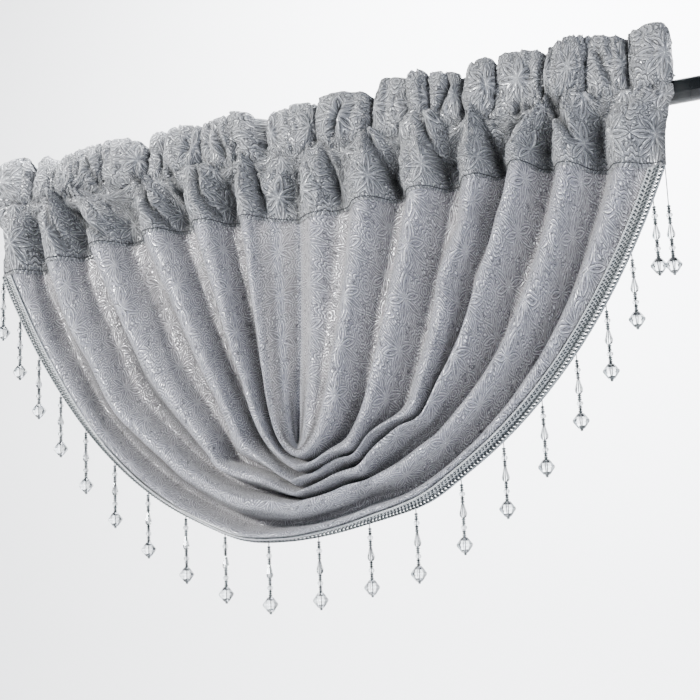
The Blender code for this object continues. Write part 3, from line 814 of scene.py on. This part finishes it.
# Deep creases. Most slant down from the rod to a valley, and some part the lobes: the
# top (x, z), the foot (x, z), the width, and how far it goes in.
HEADING_CREASES = (
    (-337, 14, -303, -72, 4.0, 7.8), (-309, -8, -240, -66, 3.6, 10.4),
    (-205, 11, -160, -70, 4.0, 10.4), (-124, 5, -98, -64, 3.6, 9.1), (-54, 4, -39, -60, 3.4, 7.8),
    (38, 6, 54, -62, 3.6, 7.8), (92, 13, 122, -63, 3.8, 9.1), (157, 18, 180, -62, 3.8, 10.4),
    (224, 1, 241, -61, 3.6, 9.1), (295, 25, 326, -45, 4.0, 10.4), (-163, 17, -148, -28, 3.4, 7.8),
    (268, 14, 256, -24, 3.4, 7.8), (-278, 48, -262, 6, 3.6, 7.8), (-98, 52, -84, 8, 3.6, 7.8),
    (66, 54, 52, 12, 3.6, 7.8), (190, 58, 176, 16, 3.6, 7.8), (352, 62, 366, 14, 3.8, 7.8),
)
LIP_SHARE = 0.45
front_x, front_z = heading_grid[..., 0], heading_grid[..., 2]
in_front = np.clip((168 - run_grid) / 10, 0, 1) * np.clip(run_grid / 10, 0, 1)
crease_shade = np.zeros(run_grid.shape)
pressed_in = np.zeros(run_grid.shape)
for top_x, top_z, foot_x, foot_z, wide, inward in HEADING_CREASES:
    long = math.hypot(foot_x - top_x, foot_z - top_z)
    way_x, way_z = (foot_x - top_x) / long, (foot_z - top_z) / long
    down = (front_x - top_x) * way_x + (front_z - top_z) * way_z
    aside = (front_z - top_z) * way_x - (front_x - top_x) * way_z
    held_in = np.exp(-np.abs(2 * down / long - 1) ** 6) * in_front
    trough = np.exp(-(aside / wide) ** 2)
    lips = np.exp(-((np.abs(aside) - 2 * wide) / wide) ** 2)
    pressed_in += inward * held_in * (trough - LIP_SHARE * lips)
    crease_shade += held_in * np.exp(-(aside / (0.8 * wide)) ** 2)
heading_grid[..., 1] += pressed_in

# Its two layers close at the side seams but for the rod's pocket, where the back one is tucked
# in, and nothing of it goes into the rod.
SIDE_SEAM_REACH = 9.0
BACK_TUCK = 11.0
from_end = np.minimum(spot_grid, spots[-1] - spot_grid)
closing = np.clip(1 - from_end / SIDE_SEAM_REACH, 0, 1) ** 1.5
closing *= np.clip((np.abs(heading_grid[..., 2]) - 15) / 8, 0, 1) * 0.94
heading_grid = mix(heading_grid, (heading_grid + heading_grid[::-1]) / 2, closing[..., None])
tucked = np.clip((run_grid - 172) / 20, 0, 1) * np.clip(1 - from_end / 40, 0, 1) * (1 - closing)
heading_grid[..., 0] -= BACK_TUCK * np.sign(heading_grid[..., 0]) * tucked
out = np.hypot(heading_grid[..., 1], heading_grid[..., 2])
room = np.maximum(1.0, ROD_ROOM / np.maximum(out, 1e-6))
heading_grid[..., 1] *= room
heading_grid[..., 2] *= room

heading_cloth = jacquard(
    "silver_jacquard_heading", ground=(0.22, 0.23, 0.25, 1.0), line=(0.92, 0.95, 0.98, 1.0),
    relief=0.0024, pitch=0.0042, painted_backlight=(0.21, 0.215, 0.22, 1.0), shade=(0.035, 0.038, 0.04, 1.0))
# Painted shade: the colour is darkened between the buds, in the notches between the lobes, under
# the buds that hang over at the rod and along the deep creases, where little light gets in.
below_rod = (1 - bud_round)[None, :] ** 2.6 * np.exp(-(run_grid / 85) ** 4)
in_notches = (np.exp(-(lobe_round / 0.42) ** 2)[None, :]
              * np.clip((run_grid - 98) / 12, 0, 1) * np.clip((172 - run_grid) / 22, 0, 1))
at_rod = 0.8 * np.exp(-((run_grid - 97) / 9) ** 2) * (0.35 + 0.65 * overhang)[None, :]
painted_shade_grid = np.clip(below_rod + in_notches + at_rod + crease_shade, 0, 1)
heading = cloth_sheet("heading_cloth", heading_grid, np.stack([spot_grid, run_grid], axis=-1),
                      {"valley": np.zeros(run_grid.shape), "deep": painted_shade_grid}, heading_cloth)
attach(heading, "root")
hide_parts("heading")

# ---------------------------------------------------------------------------
# The topstitching: one row of dark sewing thread along the heading's folded edge, which it
# holds to the swag. Each stitch is a short round yarn that lies on the cloth.
# ---------------------------------------------------------------------------
STITCH_LENGTH = 2.5
STITCH_PITCH = 3.3
STITCH_THICKNESS = 1.25
STITCH_RISE = 0.5
FIRST_STITCH = 3.0


def yarn(name, paths, thickness, surface):
    """Round yarns along their paths, in mm, as one mesh."""
    curve = bpy.data.curves.new(name, "CURVE")
    curve.dimensions = "3D"
    curve.bevel_depth = thickness / 2 * MM
    curve.bevel_resolution = 1
    curve.use_fill_caps = True
    for path in paths:
        spline = curve.splines.new("POLY")
        spline.points.add(len(path) - 1)
        padded = np.ones((len(path), 4))
        padded[:, :3] = np.asarray(path) * MM
        spline.points.foreach_set("co", padded.ravel())
    drawn = bpy.data.objects.new(name + "_path", curve)
    mesh = bpy.data.meshes.new_from_object(drawn)
    bpy.data.objects.remove(drawn)
    mesh.name = name
    made = bpy.data.objects.new(name, mesh)
    bpy.context.scene.collection.objects.link(made)
    mesh.materials.clear()
    mesh.materials.append(surface)
    mesh.shade_smooth()
    return made


def yarn_finish(name, dark, light, roughness):
    """Spun yarn: fine twisted fibres, with painted shade darkening the hollows between them."""
    spun = Nodes(name)
    spot = spun.node("ShaderNodeTexCoord").outputs["Object"]
    fibres = spun.clouds(spot, 1500.0, 2.0)
    uneven = spun.clouds(spot, 160.0, 2.0)
    # The colour follows the fibres' bump: painted shade in their hollows, on a tone that differs at
    # random.
    share = spun.maths("MULTIPLY", spun.ramp(fibres, 0.35, 0.65),
                       spun.ramp(uneven, 0.3, 0.7, 0.5, 1.0))
    spun.surface(Base_Color=spun.blend(share, dark, light), Roughness=roughness,
                 Normal=spun.bump(fibres, 0.0003, 0.6), Sheen_Weight=0.3, Sheen_Roughness=0.35)
    return spun.material


along_edge = grid_lengths(heading_grid[1][None], 1)[0]
facing = grid_normals(heading_grid)[1]
dashes = []
for start in np.arange(FIRST_STITCH, along_edge[-1] - FIRST_STITCH, STITCH_PITCH):
    places = np.array([start, start + STITCH_LENGTH / 2, start + STITCH_LENGTH])
    dashes.append(np.stack([
        np.interp(places, along_edge, heading_grid[1, :, k] - STITCH_RISE * facing[:, k])
        for k in range(3)], axis=-1))
seam_thread = yarn_finish("seam_thread", (0.006, 0.008, 0.01, 1.0), (0.04, 0.045, 0.05, 1.0), 0.6)
topstitches = yarn("heading_topstitches", dashes, STITCH_THICKNESS, seam_thread)
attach(topstitches, "root")

# ---------------------------------------------------------------------------
# The trim braid: a woven gimp, sewn along the curved hem. A dense band carries rows of silver
# chain stitch with dark stitches between them, and looped cords stand out from its edge.
# ---------------------------------------------------------------------------
BRAID_WIDTH = 21.0
BRAID_SLICES = 8
BRAID_PITCH = 4.4
BRAID_END = 3.0
BAND_INSET = 6.2
BAND_WIDTH = 14.3
BAND_RISE = 1.2
BAND_SLICES = 450
YARN_END = 1.0
CHAIN_INSETS = (12.2, 15.4, 18.6)
CHAIN_THICKNESS = 1.35
LOOP_THICKNESS = 1.7
DARK_THICKNESS = 1.8
# One row for each cord at the edge: how far in from the hem it lies, how far it swings across,
# how high it lies and lifts, where in its wave it starts, and its points to a wave.
EDGE_CORDS = (
    (1.5, 0.8, 1.9, 0.5, 0.5, 8), (1.5, 0.8, 1.9, 0.5, 0.5 + math.pi, 8),
    (5.0, 2.2, 1.9, 0.4, 1.2, 12), (8.2, 0.6, 2.0, 0.4, 2.6, 8), (10.3, 0.5, 2.2, 0.4, 0.4, 8),
)
# One row for each line of dark stitches: how far in it lies, where it starts, and how long a
# stitch is.
DARK_STITCHES = ((3.2, 1.2, 2.2), (6.9, 2.0, 2.6), (9.4, 4.2, 2.6), (13.8, 3.0, 1.5),
                 (17.0, 5.0, 1.5))
# A dark stitch slants across its line and arches off the cloth, from its start to its end.
DARK_SLANT = np.array([0.8, 0.0, -0.8])
DARK_ARCH = np.array([2.2, 3.5, 2.2])

insets = np.linspace(0.0, BRAID_WIDTH, BRAID_SLICES + 1)
band_points = np.zeros((BRAID_SLICES + 1, HEM_SAMPLES + 1, 3))
for column in range(HEM_SAMPLES + 1):
    for axis in range(3):
        band_points[:, column, axis] = np.interp(insets, inset_lengths[:, column],
                                                 cloth_near_hem[:, column, axis])
band_normals = -grid_normals(band_points)
hem_run = grid_lengths(band_points[0][None], 1)[0]
HEM_LENGTH = hem_run[-1]


def on_braid(distance, inset, rise):
    """The point this far along the hem, this far in from it and this far off the cloth."""
    column = np.interp(distance, hem_run, np.arange(HEM_SAMPLES + 1))
    row = np.clip(inset / BRAID_WIDTH * BRAID_SLICES, 0, BRAID_SLICES)
    column_0 = np.minimum(column.astype(int), HEM_SAMPLES - 1)
    row_0 = np.minimum(row.astype(int), BRAID_SLICES - 1)
    across_share, along_share = (row - row_0)[:, None], (column - column_0)[:, None]

    def between(values, at_row):
        """A row's value between two columns."""
        return (values[at_row, column_0] * (1 - along_share)
                + values[at_row, column_0 + 1] * along_share)

    def read(values):
        """The value between two rows and two columns."""
        return (between(values, row_0) * (1 - across_share)
                + between(values, row_0 + 1) * across_share)

    return read(band_points) + read(band_normals) * np.asarray(rise)[..., None]


silver_yarn = yarn_finish("silver_yarn", (0.34, 0.37, 0.385, 1.0), (0.78, 0.80, 0.82, 1.0), 0.4)
dark_yarn = yarn_finish("dark_yarn", (0.008, 0.012, 0.014, 1.0), (0.035, 0.045, 0.05, 1.0), 0.6)

# The woven band under the yarns.
band = bmesh.new()
bmesh.ops.create_grid(band, x_segments=BAND_SLICES, y_segments=4, size=0.5)
for corner in band.verts:
    distance = np.array([(corner.co.x + 0.5) * HEM_LENGTH])
    inset = np.array([BAND_INSET + (corner.co.y + 0.5) * BAND_WIDTH])
    corner.co = Vector(on_braid(distance, inset, np.array([BAND_RISE]))[0]) * MM
band_surface = yarn_finish("woven_band", (0.035, 0.04, 0.043, 1.0), (0.13, 0.14, 0.15, 1.0), 0.6)
braid_band = finished("braid_band", band, band_surface)
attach(braid_band, "root")
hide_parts("braid")


def wave_row(inset, swing, rise, lift, start, steps=8):
    """A yarn that swings across the braid and over and under its neighbour."""
    count = int(HEM_LENGTH / BRAID_PITCH) * steps
    distance = np.linspace(YARN_END, HEM_LENGTH - YARN_END, count)
    turn = 2 * math.pi * distance / BRAID_PITCH + start
    return on_braid(distance, inset + swing * np.sin(turn), rise + lift * np.sin(turn + 1.2))


rows = []
for inset in CHAIN_INSETS:
    for start in (0.0, math.pi):
        rows.append(wave_row(inset, swing=1.15, rise=2.2, lift=0.6, start=start + inset))
chains = yarn("braid_chains", rows, CHAIN_THICKNESS, silver_yarn)
grey_yarn = yarn_finish("grey_yarn", (0.10, 0.115, 0.125, 1.0), (0.50, 0.53, 0.55, 1.0), 0.45)
edge_loops = yarn("braid_loops", [wave_row(*cord) for cord in EDGE_CORDS], LOOP_THICKNESS,
                  grey_yarn)
dashes = []
for inset, start, long in DARK_STITCHES:
    for place in np.arange(start, HEM_LENGTH - BRAID_END, BRAID_PITCH):
        distance = np.linspace(place, place + long, 3)
        dashes.append(on_braid(distance, inset + DARK_SLANT, DARK_ARCH))
stitches = yarn("braid_dark_stitches", dashes, DARK_THICKNESS, dark_yarn)
for piece in (chains, edge_loops, stitches):
    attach(piece, "root")

# ---------------------------------------------------------------------------
# The bead fringe: 21 threaded strings, sewn in at the hem's edge behind the braid's loops, each
# with grey seed beads, small clear beads, a long clear drop and a cut clear end bead.
# ---------------------------------------------------------------------------
EVEN_STRINGS = 20
STRING_SPACING = 58.2
STRING_INSET = 4.0
STRING_RISE = 0.4
STRING_DROP = 0.5
THREAD_ABOVE = 3.0
THREAD_BELOW = 1.0
THREAD_POINTS = 6
THREAD_THICKNESS = 1.2
# The last string hangs on a longer bare thread.
END_STRING_SLACK = 34.0
# One row for each bead: its kind, how far its top is below the hem and its length and width.
Bead = namedtuple("Bead", "kind top length width")
BEADS = (
    Bead("seed", 4.6, 2.6, 4.4), Bead("seed", 7.2, 2.5, 4.0), Bead("seed", 9.7, 2.5, 4.8),
    Bead("round", 12.2, 5.6, 6.8), Bead("seed", 17.8, 2.2, 4.8), Bead("seed", 20.0, 2.1, 4.2),
    Bead("seed", 22.1, 2.2, 4.8), Bead("drop", 24.3, 15.7, 8.6), Bead("seed", 40.0, 2.2, 4.8),
    Bead("seed", 42.2, 2.1, 4.2), Bead("seed", 44.3, 2.2, 4.8), Bead("round", 46.5, 5.6, 6.8),
    Bead("seed", 52.1, 2.2, 4.8), Bead("seed", 54.3, 2.1, 4.2), Bead("seed", 56.4, 2.2, 4.8),
    Bead("cut", 58.6, 17.0, 17.0), Bead("seed", 75.2, 2.3, 3.4),
)
SHARP_EDGE_DEGREES = 18.0
MERGE_WITHIN_METRES = 0.00002
# Outlines of each kind: (share of the length down from the top, share of the half width).
OUTLINES = {
    "seed": ((0, 0.35), (0.2, 0.85), (0.5, 1.0), (0.8, 0.85), (1.0, 0.35)),
    "round": ((0, 0.2), (0.08, 0.55), (0.28, 0.9), (0.5, 1.0), (0.72, 0.9), (0.92, 0.55),
              (1.0, 0.2)),
    "drop": ((0, 0.22), (0.06, 0.42), (0.34, 0.66), (0.66, 1.0), (0.84, 0.92), (0.95, 0.6),
             (1.0, 0.25)),
    "cut": ((0, 0.2), (0.06, 0.42), (0.44, 1.0), (0.56, 1.0), (0.94, 0.42), (1.0, 0.2)),
}
SIDES = {"seed": 8, "round": 8, "drop": 6, "cut": 9}
clear = Nodes("clear_bead")
# Painted shade: the clear beads' colour darkens towards their edges as they turn away from view,
# for the dark outlines the glass would show.
painted_rim_shade = clear.node("ShaderNodeLayerWeight", 0.42).outputs["Facing"]
clear.surface(Base_Color=clear.blend(clear.ramp(painted_rim_shade, 0.04, 0.5), (0.88, 0.90, 0.91, 1.0),
                                     (0.03, 0.04, 0.045, 1.0)),
              Roughness=0.02, IOR=1.55, Transmission_Weight=1.0,
              Specular_Tint=(0.45, 0.49, 0.52, 1.0))
seed_glass = Nodes("grey_seed_bead")
seed_spot = seed_glass.node("ShaderNodeTexCoord").outputs["Object"]
seed_tone = seed_glass.ramp(seed_glass.clouds(seed_spot, 350.0, 1.0), 0.4, 0.6)
seed_glass.surface(Base_Color=seed_glass.blend(seed_tone, (0.012, 0.016, 0.018, 1.0),
                                               (0.11, 0.125, 0.13, 1.0)),
                   Roughness=0.45, Specular_IOR_Level=0.25)


def add_bead(shape, kind, top, length, width):
    """Spin a bead's outline round its string, from its top down. Places are in mm."""
    outline = [(share * length, part * width / 2) for share, part in OUTLINES[kind]]
    corners = [shape.verts.new((top + Vector((0, 0, -down))) * MM) for down in (0.0, length)]
    ring = [corners[0]] + [shape.verts.new((top + Vector((half, 0, -down))) * MM)
                           for down, half in outline] + [corners[1]]
    ribs = [shape.edges.new(pair) for pair in zip(ring, ring[1:])]
    bmesh.ops.spin(shape, geom=ring + ribs, cent=top * MM, axis=(0, 0, 1), dvec=(0, 0, 0),
                   angle=2 * math.pi, steps=SIDES[kind], use_merge=True)


clear_beads, seed_beads, threads = bmesh.new(), bmesh.new(), []
hangs = [(STRING_INSET + index * STRING_SPACING, 0.0) for index in range(EVEN_STRINGS)]
hangs.append((HEM_LENGTH - STRING_INSET, END_STRING_SLACK))
for place, slack in hangs:
    hem_point = on_braid(np.array([place]), np.array([0.0]), np.array([STRING_RISE]))[0]
    top = Vector(hem_point) - Vector((0.0, 0.0, STRING_DROP))
    for bead in BEADS:
        target = seed_beads if bead.kind == "seed" else clear_beads
        bead_top = top - Vector((0, 0, bead.top + slack))
        add_bead(target, bead.kind, bead_top, bead.length, bead.width)
    drops = np.linspace(-THREAD_ABOVE, BEADS[-1].top + slack + THREAD_BELOW, THREAD_POINTS)
    threads.append([tuple(top - Vector((0, 0, drop))) for drop in drops])
for shape in (clear_beads, seed_beads):
    bmesh.ops.remove_doubles(shape, verts=shape.verts, dist=MERGE_WITHIN_METRES)
    bmesh.ops.recalc_face_normals(shape, faces=shape.faces)
clear_piece = finished("clear_beads", clear_beads, clear.material)
clear_piece.data.set_sharp_from_angle(angle=math.radians(SHARP_EDGE_DEGREES))
seed_piece = finished("seed_beads", seed_beads, seed_glass.material)
thread_piece = yarn("bead_threads", threads, THREAD_THICKNESS, band_surface)
for piece in (clear_piece, seed_piece, thread_piece):
    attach(piece, "root")
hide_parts("bead_fringe")
